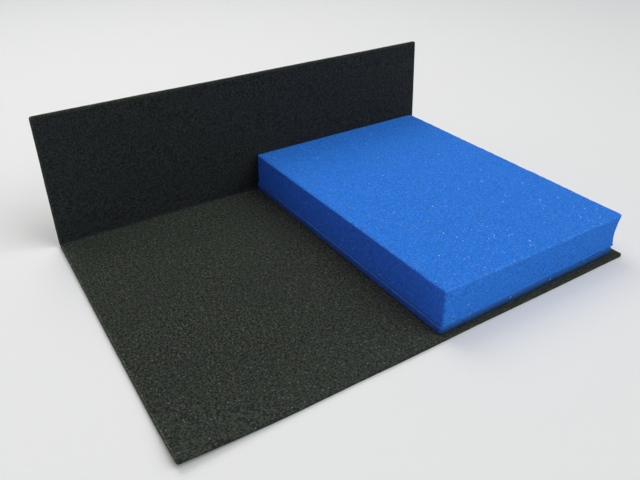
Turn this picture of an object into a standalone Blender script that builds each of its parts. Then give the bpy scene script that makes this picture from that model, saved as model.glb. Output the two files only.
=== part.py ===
"""Foam insert for a carrying case: a folded liner sheet with a foam block on it.

One thin charcoal foam sheet is slit along its underside and folded up into a
base leaf and a back leaf, which stay joined by the skin left at the inside of
the fold.  A blue foam block, bonded to a thin backing layer of the same foam,
covers the right-hand half of the base leaf and stops against the back leaf.

Metres, +Z up.  The shapes are worked out from the left end of the fold (x to
the right along the fold, y to the rear, z up from the underside) and are then
moved so that the origin is the bottom centre of the whole insert's box.
"""

import math

import bmesh
import bpy
from mathutils import Vector

COLLECTION_NAME = "foam_insert"

# Liner sheet
LINER_WIDTH = 0.430
BASE_DEPTH = 0.299
BACK_HEIGHT = 0.1255
SHEET_THICKNESS = 0.003
CORNER_RADIUS = 0.002

# Fold: the slit stops short of a thin skin, and opens as the back leaf is raised
HINGE_SKIN = 0.0006
LEFT_LEAN = math.radians(1.6)
RIGHT_LEAN = math.radians(3.0)
FOLD_SKEW = 0.002
BACK_END_SLANT = 0.0030

# Free front left-hand corner of the base leaf, which curls up off the surface
CORNER_CURL = 0.0042
CURL_WIDTH = 0.110
CURL_DEPTH = 0.070

# Foam block
BLOCK_WIDTH = 0.2091
BLOCK_THICKNESS = 0.0318
BLOCK_SIDE_MARGIN = 0.0037
BLOCK_FRONT_MARGIN = 0.0067
LEFT_CORNER_RADIUS = 0.002
RIGHT_CORNER_RADIUS = 0.004
EDGE_SOFTNESS = 0.0008

# Cut faces of the block: the left-hand one runs out of square and leans, the front one is
# undercut more and more towards the right, and the right-hand end is undercut and hollow,
# because the blade pressed the foam down before it cut
LEFT_FACE_SKEW = 0.0030
LEFT_FACE_LEAN = 0.0015
FRONT_FACE_UNDERCUT = 0.0045
END_UNDERCUT = 0.0018
END_HOLLOW = 0.0025

# Backing layer, bonded a little to the left of the block
BACKING_THICKNESS = 0.0064
BACKING_LEFT_LIP = 0.0014
BACKING_RIGHT_INSET = 0.0015
BACKING_FRONT_SETBACK = 0.0003

# Room left between faces that touch
SEAT_GAP = 0.0003

# Fineness of the meshes
CORNER_STEPS = 4
CURL_STEPS = 8
FLAT_STEPS = 4
HINGE_STEPS = 4
BLOCK_CORNER_SEGMENTS = 5
BLOCK_HEIGHT_CUTS = 6
EDGE_SEGMENTS = 2
EDGE_ANGLE = math.radians(40)

CHARCOAL = (0.036, 0.041, 0.035)
BLUE = (0.030, 0.175, 0.640)


# ---------------------------------------------------------------- lines shared by the pieces

def fold_line(x):
    """Y of the inside of the fold, which runs slightly askew across the sheet."""
    return FOLD_SKEW * x / LINER_WIDTH


def lean(x):
    """Angle at which the back leaf leans back: it is slightly twisted from end to end."""
    return LEFT_LEAN + (RIGHT_LEAN - LEFT_LEAN) * x / LINER_WIDTH


def up_back_leaf(x):
    """Direction up the back leaf at x, in y and z."""
    return Vector((math.sin(lean(x)), math.cos(lean(x))))


def through_back_leaf(x):
    """Direction from the front to the rear face of the back leaf at x, in y and z."""
    return Vector((math.cos(lean(x)), -math.sin(lean(x))))


def rear_reach(x):
    """Y of the rearmost point of the back leaf at x."""
    top_rear = up_back_leaf(x) * BACK_HEIGHT + through_back_leaf(x) * SHEET_THICKNESS
    return fold_line(x) + top_rear.x


def insert_origin():
    """Bottom centre of the insert's box, seen from the left end of the fold."""
    inner_end = LINER_WIDTH - CORNER_RADIUS
    rear = max(rear_reach(CORNER_RADIUS), rear_reach(inner_end))
    return Vector((LINER_WIDTH / 2, (rear - BASE_DEPTH) / 2, 0.0))


def steps_between(start, end, count):
    """Evenly spaced values from start up to, and without, end."""
    return [start + (end - start) * i / count for i in range(count)]


# ---------------------------------------------------------------- liner sheet

def curl(x, y):
    """Height by which the free front corner of the base leaf has curled up."""
    towards_end = max(0.0, 1.0 - x / CURL_WIDTH)
    towards_front = max(0.0, 1.0 - (y + BASE_DEPTH) / CURL_DEPTH)
    return CORNER_CURL * (towards_end * towards_front) ** 2


def end_slant(x, point):
    """How far the slanting cut at the left-hand end of the back leaf moves a point inwards."""
    if point.x < 0.0:
        return 0.0
    up = (point.y - SHEET_THICKNESS) / BACK_HEIGHT
    return BACK_END_SLANT * max(0.0, up) * (1.0 - x / LINER_WIDTH)


def corner_cut(x):
    """How far the rounded corners take the free edges in, at x across the sheet."""
    from_end = min(x, LINER_WIDTH - x)
    inside = max(0.0, CORNER_RADIUS - from_end)
    return CORNER_RADIUS - math.sqrt(CORNER_RADIUS ** 2 - inside ** 2)


def liner_stations():
    """Places across the sheet where its section is drawn: closest at the round corners."""
    angles = steps_between(0.0, math.pi / 2, CORNER_STEPS)
    left_corner = [CORNER_RADIUS * (1.0 - math.cos(a)) for a in angles]
    curled = steps_between(CORNER_RADIUS, CURL_WIDTH, CURL_STEPS)
    flat = steps_between(CURL_WIDTH, LINER_WIDTH - CORNER_RADIUS, FLAT_STEPS)
    right_corner = [LINER_WIDTH - x for x in reversed(left_corner)]
    return left_corner + curled + flat + [LINER_WIDTH - CORNER_RADIUS] + right_corner


def liner_section(x):
    """Closed outline of the folded sheet at x: underside, slit, skin, back leaf, upper side."""
    fold = Vector((fold_line(x), SHEET_THICKNESS))
    front = corner_cut(x) - BASE_DEPTH
    flat_from = CURL_DEPTH - BASE_DEPTH
    along = steps_between(front, flat_from, CURL_STEPS) + steps_between(flat_from, fold.x, FLAT_STEPS)
    underside = [Vector((y, curl(x, y))) for y in along]
    upper_side = [p + Vector((0.0, SHEET_THICKNESS)) for p in reversed(underside)]
    slit_foot = [Vector((fold.x, 0.0))]
    skin = []
    for i in range(HINGE_STEPS + 1):
        angle = -math.pi / 2 + (math.pi / 2 - lean(x)) * i / HINGE_STEPS
        skin.append(fold + Vector((math.cos(angle), math.sin(angle))) * HINGE_SKIN)
    to_rear = through_back_leaf(x) * SHEET_THICKNESS
    to_top = up_back_leaf(x) * (BACK_HEIGHT - corner_cut(x))
    back_leaf = [fold + to_rear, fold + to_rear + to_top, fold + to_top, fold]
    return underside + slit_foot + skin + back_leaf + upper_side


def make_folded_liner():
    """Loft the sheet's section from the left end to the right."""
    bm = bmesh.new()
    sections = []
    for x in liner_stations():
        section = liner_section(x)
        sections.append([bm.verts.new((x + end_slant(x, p), *p)) for p in section])
    for left, right in zip(sections, sections[1:]):
        for i, start in enumerate(left):
            j = (i + 1) % len(left)
            bm.faces.new((start, left[j], right[j], right[i]))
    bm.faces.new(reversed(sections[0]))
    bm.faces.new(sections[-1])
    return bm


# ---------------------------------------------------------------- foam block and its backing

def block_left(depth, height):
    """X of the block's left-hand face, at shares of its depth from the front and of its height."""
    front_top = LINER_WIDTH - BLOCK_SIDE_MARGIN - BLOCK_WIDTH
    return front_top - LEFT_FACE_SKEW * depth - LEFT_FACE_LEAN * (1.0 - height)


def block_right(height):
    """X of the block's right-hand end: undercut, and hollow in between."""
    hollow = END_UNDERCUT * (1.0 - height) + END_HOLLOW * math.sin(math.pi * height)
    return LINER_WIDTH - BLOCK_SIDE_MARGIN - hollow


def block_front(across, height):
    """Y of the block's front face, at shares of its width from the left and of its height."""
    return BLOCK_FRONT_MARGIN - BASE_DEPTH + FRONT_FACE_UNDERCUT * across * (1.0 - height)


def block_rear(x, z):
    """Y of the rear faces, which stop against the back leaf."""
    up_the_leaf = (z - SHEET_THICKNESS) * math.tan(lean(x))
    return fold_line(x) + up_the_leaf - SEAT_GAP / math.cos(lean(x))


def is_upright_edge(edge):
    """Whether an edge of a slab stands upright."""
    return abs(edge.verts[0].co.z - edge.verts[1].co.z) > max(
        abs(edge.verts[0].co.x - edge.verts[1].co.x),
        abs(edge.verts[0].co.y - edge.verts[1].co.y),
    )


def round_corners(bm, side_x, radius):
    """Round the two upright edges of a slab that stand at one x."""
    corners = [e for e in bm.edges if is_upright_edge(e) and e.verts[0].co.x == side_x]
    bmesh.ops.bevel(
        bm, geom=corners, offset=radius, segments=BLOCK_CORNER_SEGMENTS, profile=0.5, affect="EDGES",
    )


def make_slab(bottom, thickness, left, right, front, height_cuts):
    """A slab between three cut faces and the back leaf, with its upright edges rounded.

    left is a function of the shares of the slab's depth and height, right of the share of
    its height, and front of the shares of its width and height.
    """
    width = right(1.0) - left(0.0, 1.0)
    depth = block_rear(LINER_WIDTH, bottom + thickness) - front(0.0, 1.0)
    bm = bmesh.new()
    bmesh.ops.create_cube(bm, size=1.0)
    bmesh.ops.translate(bm, verts=bm.verts, vec=(0.5, 0.5, 0.5))
    bmesh.ops.scale(bm, verts=bm.verts, vec=(width, depth, thickness))
    round_corners(bm, min(v.co.x for v in bm.verts), LEFT_CORNER_RADIUS)
    round_corners(bm, max(v.co.x for v in bm.verts), RIGHT_CORNER_RADIUS)
    if height_cuts:
        upright = [e for e in bm.edges if is_upright_edge(e)]
        bmesh.ops.subdivide_edges(bm, edges=upright, cuts=height_cuts, use_grid_fill=True)
    for vert in bm.verts:
        across, along, height = vert.co.x / width, vert.co.y / depth, vert.co.z / thickness
        start = front(across, height)
        x = left(along, height) + across * (right(height) - left(along, height))
        z = bottom + vert.co.z
        y = start + along * (block_rear(x, z) - start)
        vert.co = (x, y, z)
    return bm


def make_block_backing():
    """The thin layer that the block is bonded to, with upright edges."""
    return make_slab(
        bottom=SHEET_THICKNESS + SEAT_GAP,
        thickness=BACKING_THICKNESS,
        left=lambda depth, height: block_left(depth, 0.0) - BACKING_LEFT_LIP,
        right=lambda height: block_right(0.0) - BACKING_RIGHT_INSET,
        front=lambda across, height: block_front(across, 0.0) + BACKING_FRONT_SETBACK,
        height_cuts=0,
    )


def make_foam_block():
    """The thick layer of the block."""
    return make_slab(
        bottom=SHEET_THICKNESS + BACKING_THICKNESS + 2 * SEAT_GAP,
        thickness=BLOCK_THICKNESS,
        left=block_left,
        right=block_right,
        front=block_front,
        height_cuts=BLOCK_HEIGHT_CUTS,
    )


# ---------------------------------------------------------------- objects

def make_material(name, colour, roughness):
    """A matt Principled material of one colour."""
    material = bpy.data.materials.new(name)
    material.use_nodes = True
    material.diffuse_color = (*colour, 1.0)
    shader = material.node_tree.nodes["Principled BSDF"]
    shader.inputs["Base Color"].default_value = (*colour, 1.0)
    shader.inputs["Roughness"].default_value = roughness
    shader.inputs["Metallic"].default_value = 0.0
    return material


def add_piece(name, bm, material, collection):
    """Turn a bmesh into a named object, placed by its location."""
    bmesh.ops.recalc_face_normals(bm, faces=bm.faces)
    mesh = bpy.data.meshes.new(name)
    bm.to_mesh(mesh)
    bm.free()
    mesh.materials.append(material)
    piece = bpy.data.objects.new(name, mesh)
    piece.location = -insert_origin()
    collection.objects.link(piece)
    return piece


def soften_edges(piece):
    """Round off the cut edges of a foam piece."""
    bevel = piece.modifiers.new("soft_edges", "BEVEL")
    bevel.width = EDGE_SOFTNESS
    bevel.segments = EDGE_SEGMENTS
    bevel.limit_method = "ANGLE"
    bevel.angle_limit = EDGE_ANGLE


def main():
    """Build the insert in a collection of its own."""
    for old in list(bpy.data.objects):
        bpy.data.objects.remove(old, do_unlink=True)
    collection = bpy.data.collections.new(COLLECTION_NAME)
    bpy.context.scene.collection.children.link(collection)

    sheet_foam = make_material("charcoal_sheet_foam", CHARCOAL, 0.9)
    block_foam = make_material("blue_block_foam", BLUE, 0.85)
    backing_foam = make_material("blue_backing_foam", BLUE, 0.85)

    add_piece("folded_liner", make_folded_liner(), sheet_foam, collection)
    soften_edges(add_piece("block_backing", make_block_backing(), backing_foam, collection))
    soften_edges(add_piece("foam_block", make_foam_block(), block_foam, collection))


main()
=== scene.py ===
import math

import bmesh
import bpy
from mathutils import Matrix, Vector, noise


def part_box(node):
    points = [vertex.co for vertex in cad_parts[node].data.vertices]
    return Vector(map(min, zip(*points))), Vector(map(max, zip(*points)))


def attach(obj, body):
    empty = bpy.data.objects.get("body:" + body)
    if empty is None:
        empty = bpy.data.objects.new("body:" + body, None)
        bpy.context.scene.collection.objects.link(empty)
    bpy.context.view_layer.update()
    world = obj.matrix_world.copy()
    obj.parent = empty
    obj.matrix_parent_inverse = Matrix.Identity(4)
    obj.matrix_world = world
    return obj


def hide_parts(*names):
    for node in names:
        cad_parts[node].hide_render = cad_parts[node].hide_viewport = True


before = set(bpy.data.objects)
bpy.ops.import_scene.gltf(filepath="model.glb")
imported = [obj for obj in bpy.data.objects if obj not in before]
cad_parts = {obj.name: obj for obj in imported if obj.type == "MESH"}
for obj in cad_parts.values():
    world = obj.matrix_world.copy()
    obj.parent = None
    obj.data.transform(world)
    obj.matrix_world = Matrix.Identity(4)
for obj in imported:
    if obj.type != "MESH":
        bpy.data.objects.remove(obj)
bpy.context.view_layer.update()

# Looks of a foam case insert: a charcoal foam sheet folded into a base leaf and a back leaf, and a
# blue foam block on a thin layer of its own.  All three pieces are soft, so each CAD solid is
# replaced by a finely gridded mesh of the same form, whose cut faces are slightly uneven.
# Lengths are in metres, in the frame of the CAD: x along the fold, y to the rear, z up.

# The folded sheet, as the CAD makes it
SHEET_THICKNESS = 0.003
BASE_DEPTH = 0.299
BACK_HEIGHT = 0.1255
LEFT_LEAN = math.radians(1.6)
RIGHT_LEAN = math.radians(3.0)
FOLD_SKEW = 0.002
BACK_END_SLANT = 0.0030
HINGE_SKIN = 0.0006
SHEET_CORNER = 0.002
CORNER_CURL = 0.0042
CURL_WIDTH = 0.110
CURL_DEPTH = 0.070

# Rounding of the sheet's edges, and width of the band at its ends and top that carries a painted
# highlight
SHEET_EDGE = 0.0006
CUT_EDGE_HIGHLIGHT_WIDTH = 0.0014

# Grids: spacing, distances of the close rows from an edge, steps round an edge, and how near
# points are that become one
SHEET_PITCH = 0.0024
BLOCK_PITCH = 0.0018
EDGE_ROWS = (0.0003, 0.0007, 0.0012)
ROUND_STEPS = 3
WELD_DISTANCE = 0.00002

# Unevenness of cut foam: height and typical length of each wave
SHEET_WAVES = ((0.00030, 0.070), (0.00010, 0.006))
BLOCK_WAVES = ((0.00035, 0.050), (0.00012, 0.0055))
BACKING_WAVE_SHARE = 0.6
WAVE_SHIFT = Vector((17.3, 5.1, 9.7))

# Torn cut at the block's right-hand end: its waves, how far in it reaches, how soon it is torn in
# full, and how much of it is gone at the top
TORN_WAVES = ((0.0011, 0.0070), (0.0007, 0.0036))
TORN_DEPTH = 0.007
TORN_ONSET = 1.6
TORN_FADE = 0.75

# Spread of the block's foot: at its right-hand end, and at the left and right of its front
END_FLARE = 0.0008
FRONT_FLARE = (0.0025, 0.0055)

# Charcoal foam: colours, and tones that they are multiplied by
CHARCOAL_PORE = (0.0065, 0.0080, 0.0065)
CHARCOAL_STRUT = (0.060, 0.070, 0.056)
CHARCOAL_MEAN = (0.0238, 0.0278, 0.0236)
CHARCOAL_FLECK = (0.11, 0.12, 0.10)
# Painted light: the sheet is lighter towards the fold
FOLD_PAINTED_LIGHT_TONE = (1.28, 1.28, 1.25)
# Painted light: the base leaf is lighter towards its front edge
FRONT_PAINTED_LIGHT_TONE = (1.19, 1.19, 1.20)
# Painted shade: the upright back leaf is darker and bluer than the base leaf
BACK_LEAF_PAINTED_SHADE = (0.58, 0.58, 0.72)
# Painted highlight: the cut ends and top edge of the sheet are lighter
CUT_EDGE_HIGHLIGHT_TONE = (1.75, 1.75, 1.30)

# Charcoal foam: lengths of its texture, shares, and the y between which a change comes in
PORE_LENGTH = 0.0015
CLUMP_LENGTH = 0.0034
CLUMP_SHARE = 0.35
STRUT_RANGE = (0.54, 0.85)
PATCH_LENGTH = 0.055
PATCH_RANGE = (0.35, 0.65)
PATCH_SMOOTHNESS = 0.30
FRONT_SMOOTHNESS = 0.36
BACK_LEAF_SMOOTHNESS = 0.50
BASE_FLECK_SHARE = 0.90
BACK_LEAF_FLECK_SHARE = 0.25
# Y between which the painted light by the fold comes in
FOLD_PAINTED_LIGHT_Y = (0.00, 0.13)
# Y between which the painted light by the front edge comes in
FRONT_PAINTED_LIGHT_Y = (-0.09, -0.15)
SMOOTH_FRONT_Y = (-0.04, -0.14)
CHARCOAL_RELIEF = 0.0006

# Blue foam: colours, and tones that they are multiplied by
BLUE = (0.0225, 0.178, 0.680)
# Painted shade: the backing's blue is a darker copy of the block's, as it lies in shade under the
# block
BACKING_SHADED_BLUE = (0.026, 0.130, 0.470)
# Painted shade: the blue darkens to this at the foot of the backing
FOOT_PAINTED_SHADE = (0.012, 0.036, 0.115)
BLUE_GLINT = (0.30, 0.50, 0.92)
GRAIN_DARK_TONE = (0.74, 0.74, 0.74)
GRAIN_LIGHT_TONE = (1.35, 1.27, 1.25)
# Painted light: the left-hand cut is tinted violet, the colour of the light that falls on it
LEFT_FACE_PAINTED_LIGHT_TONE = (1.30, 0.80, 1.06)
# Painted highlight: the block's edges are lighter
EDGE_HIGHLIGHT_TONE = (1.45, 1.22, 1.12)

# Blue foam: lengths of its texture, shares, and the places between which a change comes in
GRAIN_LENGTH = 0.0014
CELL_LENGTH = 0.0040
CELL_SHARE = 0.25
GRAIN_RANGE = (0.45, 0.81)
LEFT_CUT_FACING = (-0.6, -0.9)
# Share of the base colour that the painted shade of the foot leaves on the left-hand cut, and the z
# over which that shade comes in
LEFT_FOOT_UNSHADED_SHARE = 0.70
FOOT_SHADE_Z = (0.0034, 0.0106)
TOP_Z = (0.0395, 0.0408)
CLUSTER_LENGTH = 0.024
CLUSTER_VARIANT = 3.0
CLUSTER_RANGE = (0.58, 0.76)
CLUSTER_Y = (0.13, -0.13)
CLUSTER_DRIFT = 0.16
FAINT_GLINT_SHARE = 0.20
BLUE_RELIEF = 0.0005

# Flecks and glints: length of the cells they lie in, size in shares of it, and rarity
CHARCOAL_FLECKS = (0.0026, 0.18, 0.80)
FAINT_GLINTS = (0.0021, 0.26, 0.70)
BRIGHT_GLINTS = (0.0026, 0.22, 0.93)
LONE_GLINTS = (0.0054, 0.10, 0.93)
FLECK_RIM = 1.6
RARITY_STEP = 0.02

# Studio: the floor, the surround, the far light and the panels
FLOOR = (0.80, 0.81, 0.80)
FLOOR_RADIUS = 3.0
SWEEP_RADIUS = 1.5
SWEEP_STEPS = 12
SPIN_STEPS = 64
SEAM_DISTANCE = 0.0001
SURROUND = (0.93, 0.92, 1.03)
SURROUND_STRENGTH = 0.31
SUN_PLACE = Vector((0.75, -0.72, 1.0)).normalized() * 3.0
SUN_STRENGTH = 0.495 * math.pi
SUN_SPREAD = math.radians(50)
SUN_COLOUR = (0.97, 1.0, 0.99)
PANEL_SPREAD = math.radians(95)
PANELS = (  # name, place, power, colour, size
    ("above", (0.0, 0.3, 2.6), 4.4, (1.0, 0.96, 0.90), 2.6),
    ("back", (0.0, 1.5, 1.9), 5.5, (1.0, 0.96, 0.91), 1.8),
)

# Camera
CAMERA_PLACE = Vector((-0.2727, -0.4134, 0.3214))
CAMERA_YAW = math.radians(32.06)
CAMERA_PITCH = math.radians(32.14)
CAMERA_ROLL = math.radians(-0.62)
CAMERA_LENS = 35.28
CAMERA_SENSOR = 36.0
CAMERA_CLIP = 0.01


# ---------------------------------------------------------------- meshes

def graded(length, pitch):
    """Grid lines from 0 to length: even, with closer rows at both ends."""
    start = EDGE_ROWS[-1] + pitch
    count = max(1, round((length - 2 * start) / pitch))
    middle = [start + (length - 2 * start) * i / count for i in range(count + 1)]
    near = [0.0, *EDGE_ROWS]
    return near + middle + [length - d for d in reversed(near)]


def gridded_box(xs, ys, zs):
    """A closed box surface with a vertex at every crossing of the grid lines.

    The layer "edge" is 1 along the box's edges and falls to 0 within the close rows.
    """
    bm = bmesh.new()
    edge = bm.verts.layers.float.new("edge")
    verts = {}
    rows = len(EDGE_ROWS) + 1

    def vert(key):
        if key not in verts:
            i, j, k = key
            verts[key] = bm.verts.new((xs[i], ys[j], zs[k]))
            steps = [min(n, len(lines) - 1 - n) for n, lines in zip(key, (xs, ys, zs))]
            verts[key][edge] = max(0.0, 1.0 - sorted(steps)[1] / rows)
        return verts[key]

    def side(lines_a, lines_b, key):
        for a in range(len(lines_a) - 1):
            for b in range(len(lines_b) - 1):
                corners = ((a, b), (a + 1, b), (a + 1, b + 1), (a, b + 1))
                bm.faces.new([vert(key(*corner)) for corner in corners])

    last_x, last_y, last_z = len(xs) - 1, len(ys) - 1, len(zs) - 1
    for k in (0, last_z):
        side(xs, ys, lambda a, b: (a, b, k))
    for j in (0, last_y):
        side(xs, zs, lambda a, b: (a, j, b))
    for i in (0, last_x):
        side(ys, zs, lambda a, b: (i, a, b))
    return bm


def new_piece(name, bm):
    """Turn a bmesh into a smooth-shaded object."""
    bmesh.ops.recalc_face_normals(bm, faces=bm.faces)
    mesh = bpy.data.meshes.new(name)
    bm.to_mesh(mesh)
    bm.free()
    mesh.shade_smooth()
    piece = bpy.data.objects.new(name, mesh)
    bpy.context.scene.collection.objects.link(piece)
    return piece


def bake_modifiers(piece):
    """Replace a piece's mesh by what its modifiers make of it."""
    graph = bpy.context.evaluated_depsgraph_get()
    baked = bpy.data.meshes.new_from_object(piece.evaluated_get(graph))
    piece.modifiers.clear()
    old = piece.data
    piece.data = baked
    bpy.data.meshes.remove(old)


def drop_fins(piece):
    """Cut a mesh into triangles, and take out those that a weld has laid back to back."""
    bm = bmesh.new()
    bm.from_mesh(piece.data)
    bmesh.ops.triangulate(bm, faces=bm.faces)
    by_corners = {}
    for face in bm.faces:
        by_corners.setdefault(frozenset(face.verts), []).append(face)
    fins = [face for faces in by_corners.values() if len(faces) > 1 for face in faces]
    bmesh.ops.delete(bm, geom=fins, context="FACES")
    bm.to_mesh(piece.data)
    bm.free()


def waves(point, layers):
    """Sum of noise layers at a point, each given by its height and typical length."""
    total = 0.0
    for i, (height, length) in enumerate(layers):
        total += height * noise.noise(point / length + WAVE_SHIFT * i)
    return total


def roughen(piece, layers, weight=None):
    """Push every vertex along its normal by noise, more or less by a weight of its place."""
    normals = [v.normal.copy() for v in piece.data.vertices]
    for vert, normal in zip(piece.data.vertices, normals):
        share = 1.0 if weight is None else weight(vert.co)
        vert.co += normal * waves(vert.co, layers) * share


def share_between(value, start, end):
    """Share of the way that a value has gone from start to end."""
    return (value - start) / (end - start)


def torn_share(node):
    """Weight of the torn cut at the right-hand end of the block's node, most towards its foot."""
    low, high = (Vector(p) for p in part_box(node))

    def share(point):
        near_end = max(0.0, 1.0 - (high.x - point.x) / TORN_DEPTH)
        above_foot = share_between(point.z, low.z, high.z)
        return min(1.0, TORN_ONSET * near_end) * (1.0 - TORN_FADE * above_foot)

    return share


def flare_foot(piece, low, high):
    """Spread a piece's foot to the right and to the front; low and high are the block's corners."""
    front_left, front_right = FRONT_FLARE
    for vert in piece.data.vertices:
        across = share_between(vert.co.x, low.x, high.x)
        forward = share_between(vert.co.y, high.y, low.y)
        down = share_between(vert.co.z, high.z, low.z)
        vert.co.x += END_FLARE * down ** 2 * max(0.0, across)
        vert.co.y -= (front_left + (front_right - front_left) * across) * down * forward


def dress(piece, node, material):
    """Let a piece stand for a CAD node of soft foam."""
    piece.data.materials.clear()
    piece.data.materials.append(material)
    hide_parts(node)
    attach(piece, "root")


def make_cut_block(name, node):
    """A fine closed mesh on the surface of a CAD slab."""
    lines = []
    for low, high in zip(*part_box(node)):
        lines.append([low + d for d in graded(high - low, BLOCK_PITCH)])
    piece = new_piece(name, gridded_box(*lines))
    wrap = piece.modifiers.new("on_cad", "SHRINKWRAP")
    wrap.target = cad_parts[node]
    wrap.wrap_method = "NEAREST_SURFACEPOINT"
    weld = piece.modifiers.new("weld", "WELD")
    weld.merge_threshold = WELD_DISTANCE
    bake_modifiers(piece)
    drop_fins(piece)
    return piece


# ---------------------------------------------------------------- the folded sheet

def corner_cut(x, width):
    """How far the rounded corners take the free edges in."""
    inside = max(0.0, SHEET_CORNER - min(x, width - x))
    return SHEET_CORNER - math.sqrt(SHEET_CORNER ** 2 - inside ** 2)


def curl(x, y):
    """Height by which the free front left-hand corner has curled up."""
    towards_end = max(0.0, 1.0 - x / CURL_WIDTH)
    towards_front = max(0.0, 1.0 - (y + BASE_DEPTH) / CURL_DEPTH)
    return CORNER_CURL * (towards_end * towards_front) ** 2


def end_slant(x, point, width):
    """How far the slanting cut at the left-hand end of the back leaf moves a point inwards."""
    if point.x < 0.0:
        return 0.0
    up = (point.y - SHEET_THICKNESS) / BACK_HEIGHT
    return BACK_END_SLANT * max(0.0, up) * (1.0 - x / width)


def run(start, end, length):
    """Evenly spaced points from start up to, and without, end: as many as suit a length."""
    count = round(length / SHEET_PITCH)
    return [start.lerp(end, i / count) for i in range(count)]


def rounded(corner, back, ahead):
    """Quarter arc at a corner; back and ahead point away from it along its two sides."""
    centre = corner + (back + ahead) * SHEET_EDGE
    angles = [math.pi / 2 * i / ROUND_STEPS for i in range(ROUND_STEPS + 1)]
    return [centre - (ahead * math.cos(a) + back * math.sin(a)) * SHEET_EDGE for a in angles]


def sheet_section(x, width, inset):
    """Outline in y and z of the folded sheet at x, drawn in by inset all round."""
    lean = LEFT_LEAN + (RIGHT_LEAN - LEFT_LEAN) * x / width
    up = Vector((math.sin(lean), math.cos(lean)))
    rear = Vector((math.cos(lean), -math.sin(lean)))
    level, upright = Vector((1.0, 0.0)), Vector((0.0, 1.0))
    fold = Vector((FOLD_SKEW * x / width, SHEET_THICKNESS))
    thick = SHEET_THICKNESS - 2 * inset
    cut = corner_cut(x, width) + inset
    front_lower = Vector((cut - BASE_DEPTH, inset))
    front_upper = front_lower + upright * thick
    slit_foot = Vector((fold.x - inset, inset))
    back_foot = fold + rear * (SHEET_THICKNESS - inset) + up * inset
    top_rear = fold + rear * (SHEET_THICKNESS - inset) + up * (BACK_HEIGHT - cut)
    top_front = top_rear - rear * thick
    inner = fold + level * inset - upright * inset

    # The underside of the base leaf, from its front edge to the slit
    points = rounded(front_lower, upright, level)
    points += run(points[-1], slit_foot, BASE_DEPTH)[1:]
    points.append(slit_foot)
    # The skin that the slit leaves round the fold as a hinge
    for i in range(ROUND_STEPS + 1):
        angle = -math.pi / 2 + (math.pi / 2 - lean) * i / ROUND_STEPS
        points.append(fold + Vector((math.cos(angle), math.sin(angle))) * (HINGE_SKIN + inset))
    # The rear, the top edge and the front of the back leaf
    points += run(back_foot, top_rear - up * SHEET_EDGE, BACK_HEIGHT)
    points += rounded(top_rear, -up, -rear)
    points += rounded(top_front, rear, -up)
    points += run(points[-1], inner, BACK_HEIGHT)[1:]
    # The top of the base leaf, to its front edge
    points += run(inner, front_upper + level * SHEET_EDGE, BASE_DEPTH)
    points += rounded(front_upper, level, -upright)
    return [p + upright * curl(x, p.x) for p in points]


def at_cut_edge(x, point, width):
    """1.0 for a point of the section at x on the sheet's ends or its top edge, or else 0.0."""
    from_end = min(x, width - x)
    from_top = SHEET_THICKNESS + BACK_HEIGHT * math.cos(RIGHT_LEAN) - point.y
    return float(min(from_end, from_top) < CUT_EDGE_HIGHLIGHT_WIDTH)


def sheet_stations(width):
    """Places of the sections along the fold: even, with closer ones round both ends."""
    angles = [math.pi / 2 * i / ROUND_STEPS for i in range(ROUND_STEPS)]
    first = [SHEET_EDGE * (1.0 - math.cos(a)) for a in angles]
    first += [SHEET_EDGE, SHEET_CORNER / 2, SHEET_CORNER]
    length = width - 2 * SHEET_CORNER
    count = round(length / SHEET_PITCH)
    middle = [SHEET_CORNER + length * i / count for i in range(1, count)]
    return first + middle + [width - x for x in reversed(first)]


def make_folded_sheet():
    """Loft the sheet's section along the fold, with rounded ends.

    The layer "edge" is 1 at its ends and its top edge, and "upright" is 1 on the back leaf.
    """
    low, high = (Vector(p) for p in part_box("folded_liner"))
    width = high.x - low.x
    origin = Vector((low.x, low.y + BASE_DEPTH, low.z))
    bm = bmesh.new()
    edge = bm.verts.layers.float.new("edge")
    upright = bm.verts.layers.float.new("upright")
    rings = []
    for x in sheet_stations(width):
        from_end = max(0.0, 1.0 - min(x, width - x) / SHEET_EDGE)
        inset = SHEET_EDGE * (1.0 - math.sqrt(1.0 - from_end ** 2))
        section = sheet_section(x, width, inset)
        places = [origin + Vector((x + end_slant(x, p, width), *p)) for p in section]
        rings.append([bm.verts.new(place) for place in places])
        for vert, point in zip(rings[-1], section):
            vert[edge] = at_cut_edge(x, point, width)
            vert[upright] = float(point.x > -inset and point.y > SHEET_THICKNESS + inset)
    for left, right in zip(rings, rings[1:]):
        for i, start in enumerate(left):
            j = (i + 1) % len(left)
            bm.faces.new((start, left[j], right[j], right[i]))
    bm.faces.new(rings[0])
    bm.faces.new(rings[-1])
    return new_piece("liner_foam", bm)


# ---------------------------------------------------------------- materials

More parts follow.
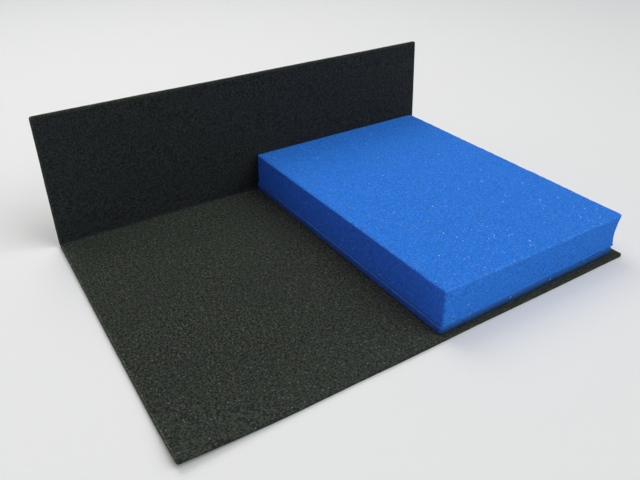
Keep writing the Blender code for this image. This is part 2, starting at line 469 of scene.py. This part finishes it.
class Shade:
    """A Principled material that is built node by node."""

    def __init__(self, name, roughness, specular):
        self.material = bpy.data.materials.new(name)
        self.material.use_nodes = True
        self.tree = self.material.node_tree
        self.shader = self.tree.nodes["Principled BSDF"]
        self.shader.inputs["Roughness"].default_value = roughness
        self.shader.inputs["Specular IOR Level"].default_value = specular
        self.place = self.tree.nodes.new("ShaderNodeTexCoord").outputs["Object"]

    def link(self, source, target):
        """Join two sockets."""
        self.tree.links.new(source, target)

    def noise(self, length, detail=2.0, variant=0.0):
        """Clouds of a typical length; another variant puts them elsewhere."""
        node = self.tree.nodes.new("ShaderNodeTexNoise")
        node.noise_dimensions = "4D"
        node.inputs["W"].default_value = variant
        node.inputs["Scale"].default_value = 1.0 / length
        node.inputs["Detail"].default_value = detail
        self.link(self.place, node.inputs["Vector"])
        return node.outputs["Fac"]

    def span(self, value, low, high, out_low=0.0, out_high=1.0):
        """Map a value from one range to another, clamped."""
        node = self.tree.nodes.new("ShaderNodeMapRange")
        self.link(value, node.inputs["Value"])
        for socket, number in zip(node.inputs[1:5], (low, high, out_low, out_high)):
            socket.default_value = number
        return node.outputs["Result"]

    def math(self, operation, a, b):
        """Value of a and b, each a number or a socket."""
        node = self.tree.nodes.new("ShaderNodeMath")
        node.operation = operation
        for socket, value in zip(node.inputs, (a, b)):
            if isinstance(value, (int, float)):
                socket.default_value = value
            else:
                self.link(value, socket)
        return node.outputs["Value"]

    def mix(self, share, a, b):
        """Colour between a and b, each a colour or a socket."""
        node = self.tree.nodes.new("ShaderNodeMix")
        node.data_type = "RGBA"
        if isinstance(share, float):
            node.inputs["Factor"].default_value = share
        else:
            self.link(share, node.inputs["Factor"])
        colour_inputs = [s for s in node.inputs if s.type == "RGBA"]
        for socket, colour in zip(colour_inputs, (a, b)):
            if isinstance(colour, tuple):
                socket.default_value = (*colour, 1.0)
            else:
                self.link(colour, socket)
        return [s for s in node.outputs if s.type == "RGBA"][0]

    def multiply(self, share, a, b):
        """Colour a, multiplied by b to a share."""
        colour = self.mix(share, a, b)
        colour.node.blend_type = "MULTIPLY"
        return colour

    def painted(self, layer):
        """Value that the mesh carries in a layer of its own."""
        node = self.tree.nodes.new("ShaderNodeAttribute")
        node.attribute_name = layer
        return node.outputs["Fac"]

    def facing(self, axis, low, high):
        """Share of the way from low to high of the surface normal's part along an axis."""
        normal = self.tree.nodes.new("ShaderNodeNewGeometry").outputs["Normal"]
        node = self.tree.nodes.new("ShaderNodeSeparateXYZ")
        self.link(normal, node.inputs["Vector"])
        return self.span(node.outputs[axis], low, high)

    def along(self, axis, low, high):
        """Share of the way from one place on an axis to another."""
        node = self.tree.nodes.new("ShaderNodeSeparateXYZ")
        self.link(self.place, node.inputs["Vector"])
        return self.span(node.outputs[axis], low, high)

    def flecks(self, length, size, rarity):
        """Small spots, at most one in each cell of a length, and in few cells where it is rare."""
        node = self.tree.nodes.new("ShaderNodeTexVoronoi")
        node.inputs["Scale"].default_value = 1.0 / length
        self.link(self.place, node.inputs["Vector"])
        spot = self.span(node.outputs["Distance"], size, size * FLECK_RIM, 1.0, 0.0)
        draw = self.tree.nodes.new("ShaderNodeSeparateColor")
        self.link(node.outputs["Color"], draw.inputs["Color"])
        chosen = self.span(draw.outputs["Red"], rarity, rarity + RARITY_STEP)
        return self.math("MULTIPLY", spot, chosen)

    def bump(self, height, distance):
        """Relief of the surface by a value, of a depth in metres."""
        node = self.tree.nodes.new("ShaderNodeBump")
        node.inputs["Distance"].default_value = distance
        self.link(height, node.inputs["Height"])
        self.link(node.outputs["Normal"], self.shader.inputs["Normal"])


def charcoal_foam():
    """Open-cell charcoal foam: dark pores between greyish struts, in a fine speckle."""
    shade = Shade("charcoal_foam", roughness=0.95, specular=0.10)
    upright = shade.painted("upright")
    pores = shade.noise(PORE_LENGTH, detail=1.0)
    clumps = shade.noise(CLUMP_LENGTH)
    struts = shade.math("ADD", shade.math("MULTIPLY", clumps, CLUMP_SHARE), pores)
    speckle = shade.mix(shade.span(struts, *STRUT_RANGE), CHARCOAL_PORE, CHARCOAL_STRUT)
    patch_noise = shade.noise(PATCH_LENGTH, detail=3.0)
    patches = shade.span(patch_noise, *PATCH_RANGE, 0.0, PATCH_SMOOTHNESS)
    front = shade.math("MULTIPLY", shade.along("Y", *SMOOTH_FRONT_Y), FRONT_SMOOTHNESS)
    back_leaf = shade.math("MULTIPLY", upright, BACK_LEAF_SMOOTHNESS)
    smoothness = shade.math("MAXIMUM", shade.math("MAXIMUM", patches, front), back_leaf)
    toned = shade.mix(smoothness, speckle, CHARCOAL_MEAN)
    fleck_share = shade.span(upright, 0.0, 1.0, BASE_FLECK_SHARE, BACK_LEAF_FLECK_SHARE)
    flecks = shade.math("MULTIPLY", shade.flecks(*CHARCOAL_FLECKS), fleck_share)
    flecked = shade.mix(flecks, toned, CHARCOAL_FLECK)
    # Painted light: the sheet grows lighter towards the fold
    painted_light_by_fold = shade.multiply(shade.along("Y", *FOLD_PAINTED_LIGHT_Y), flecked, FOLD_PAINTED_LIGHT_TONE)
    # Painted light: the base leaf grows lighter towards its front edge
    painted_light_by_front = shade.multiply(shade.along("Y", *FRONT_PAINTED_LIGHT_Y), painted_light_by_fold, FRONT_PAINTED_LIGHT_TONE)
    # Painted shade: the back leaf is darker and bluer
    leaf = shade.multiply(upright, painted_light_by_front, BACK_LEAF_PAINTED_SHADE)
    # Painted highlight on the sheet's cut ends and top edge
    cut = shade.multiply(shade.painted("edge"), leaf, CUT_EDGE_HIGHLIGHT_TONE)
    shade.link(cut, shade.shader.inputs["Base Color"])
    shade.bump(struts, CHARCOAL_RELIEF)
    return shade.material


def top_glints(shade):
    """Share of the glints on a blue top: faint ones all over, and bright ones in clusters."""
    top = shade.along("Z", *TOP_Z)
    to_front = shade.math("MULTIPLY", shade.along("Y", *CLUSTER_Y), CLUSTER_DRIFT)
    cluster_noise = shade.noise(CLUSTER_LENGTH, variant=CLUSTER_VARIANT)
    likely = shade.math("ADD", cluster_noise, to_front)
    clusters = shade.math("MULTIPLY", shade.span(likely, *CLUSTER_RANGE), top)
    faint = shade.math("MULTIPLY", shade.flecks(*FAINT_GLINTS), FAINT_GLINT_SHARE)
    bright = shade.math("MULTIPLY", shade.flecks(*BRIGHT_GLINTS), clusters)
    return shade.math("MAXIMUM", shade.math("MULTIPLY", faint, top), bright)


def blue_foam(name, base, foot=None):
    """Open-cell blue foam with a fine grain and pale glints where cell skins catch the light.

    Where a painted shade for the foot is given, the base colour darkens to it downwards, but keeps
    a share of itself on the left-hand cut. The left-hand cut has a tint of painted light, and the
    edges carry a painted highlight.
    """
    shade = Shade(name, roughness=0.80, specular=0.10)
    grain = shade.noise(GRAIN_LENGTH, detail=1.0)
    cells = shade.noise(CELL_LENGTH)
    texture = shade.math("ADD", shade.math("MULTIPLY", cells, CELL_SHARE), grain)
    left_cut = shade.facing("X", *LEFT_CUT_FACING)
    body = base
    # Painted shade: darker towards the foot, less so on the left-hand cut
    if foot:
        unshaded_at_left = shade.math("MULTIPLY", left_cut, LEFT_FOOT_UNSHADED_SHARE)
        unshaded = shade.math("MAXIMUM", shade.along("Z", *FOOT_SHADE_Z), unshaded_at_left)
        body = shade.mix(unshaded, foot, base)
    tone = shade.mix(shade.span(texture, *GRAIN_RANGE), GRAIN_DARK_TONE, GRAIN_LIGHT_TONE)
    speckle = shade.multiply(1.0, body, tone)
    # Painted light: violet tint on the left-hand cut
    cut = shade.multiply(left_cut, speckle, LEFT_FACE_PAINTED_LIGHT_TONE)
    # Painted highlight along the block's edges
    painted_edge_highlight = shade.multiply(shade.painted("edge"), cut, EDGE_HIGHLIGHT_TONE)
    glints = shade.math("MAXIMUM", top_glints(shade), shade.flecks(*LONE_GLINTS))
    shade.link(shade.mix(glints, painted_edge_highlight, BLUE_GLINT), shade.shader.inputs["Base Color"])
    shade.bump(texture, BLUE_RELIEF)
    return shade.material


def floor_material():
    """Plain pale matt surface."""
    shade = Shade("pale_floor", roughness=0.6, specular=0.2)
    shade.shader.inputs["Base Color"].default_value = (*FLOOR, 1.0)
    return shade.material


# ---------------------------------------------------------------- floor, lights, camera

def make_floor():
    """A plain pale floor under the insert that sweeps up into a low wall all round."""
    profile = [(0.0, 0.0), (FLOOR_RADIUS, 0.0)]
    for i in range(1, SWEEP_STEPS + 1):
        angle = math.pi / 2 * i / SWEEP_STEPS
        across = FLOOR_RADIUS + SWEEP_RADIUS * math.sin(angle)
        profile.append((across, SWEEP_RADIUS * (1.0 - math.cos(angle))))
    bm = bmesh.new()
    verts = [bm.verts.new((x, 0.0, z)) for x, z in profile]
    edges = [bm.edges.new(pair) for pair in zip(verts, verts[1:])]
    bmesh.ops.spin(
        bm, geom=verts + edges, cent=(0.0, 0.0, 0.0), axis=(0.0, 0.0, 1.0),
        angle=2 * math.pi, steps=SPIN_STEPS,
    )
    bmesh.ops.remove_doubles(bm, verts=bm.verts, dist=SEAM_DISTANCE)
    floor = new_piece("floor", bm)
    floor.data.materials.append(floor_material())


def add_light(name, kind, place, power, colour):
    """Add a light that shines at the insert, and return its data."""
    data = bpy.data.lights.new(name, kind)
    data.energy = power
    data.color = colour
    lamp = bpy.data.objects.new(name, data)
    lamp.location = place
    lamp.rotation_euler = (-lamp.location).to_track_quat("-Z", "Y").to_euler()
    bpy.context.scene.collection.objects.link(lamp)
    return data


def light_scene():
    """A soft light from the right, two panels above and behind, and an even pale surround."""
    world = bpy.data.worlds.new("studio")
    world.use_nodes = True
    background = world.node_tree.nodes["Background"]
    background.inputs["Color"].default_value = (*SURROUND, 1.0)
    background.inputs["Strength"].default_value = SURROUND_STRENGTH
    bpy.context.scene.world = world
    sun = add_light("side", "SUN", SUN_PLACE, SUN_STRENGTH, SUN_COLOUR)
    sun.angle = SUN_SPREAD
    for name, place, power, colour, size in PANELS:
        panel = add_light(name, "AREA", place, power, colour)
        panel.shape = "DISK"
        panel.spread = PANEL_SPREAD
        panel.size = size


def place_camera():
    """Look down on the insert from the front left."""
    data = bpy.data.cameras.new("camera")
    data.sensor_width = CAMERA_SENSOR
    data.lens = CAMERA_LENS
    data.clip_start = CAMERA_CLIP
    camera = bpy.data.objects.new("camera", data)
    turn = (
        Matrix.Rotation(-CAMERA_YAW, 4, "Z")
        @ Matrix.Rotation(math.pi / 2 - CAMERA_PITCH, 4, "X")
        @ Matrix.Rotation(CAMERA_ROLL, 4, "Z")
    )
    camera.matrix_world = Matrix.Translation(CAMERA_PLACE) @ turn
    bpy.context.scene.collection.objects.link(camera)
    bpy.context.scene.camera = camera


def main():
    """Dress the frame and set up the studio."""
    bpy.context.scene.view_settings.view_transform = "Standard"
    low, high = Vector(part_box("block_backing")[0]), Vector(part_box("foam_block")[1])

    block = make_cut_block("block_foam", "foam_block")
    roughen(block, BLOCK_WAVES)
    roughen(block, TORN_WAVES, torn_share("foam_block"))
    flare_foot(block, low, high)
    dress(block, "foam_block", blue_foam("blue_foam", BLUE))

    backing = make_cut_block("backing_foam", "block_backing")
    roughen(backing, BLOCK_WAVES, lambda point: BACKING_WAVE_SHARE)
    flare_foot(backing, low, high)
    # The backing: blue with painted shade, darkening further to painted shade at its foot
    backing_material = blue_foam("blue_backing", BACKING_SHADED_BLUE, FOOT_PAINTED_SHADE)
    dress(backing, "block_backing", backing_material)

    sheet = make_folded_sheet()
    roughen(sheet, SHEET_WAVES)
    dress(sheet, "folded_liner", charcoal_foam())

    make_floor()
    light_scene()
    place_camera()


main()
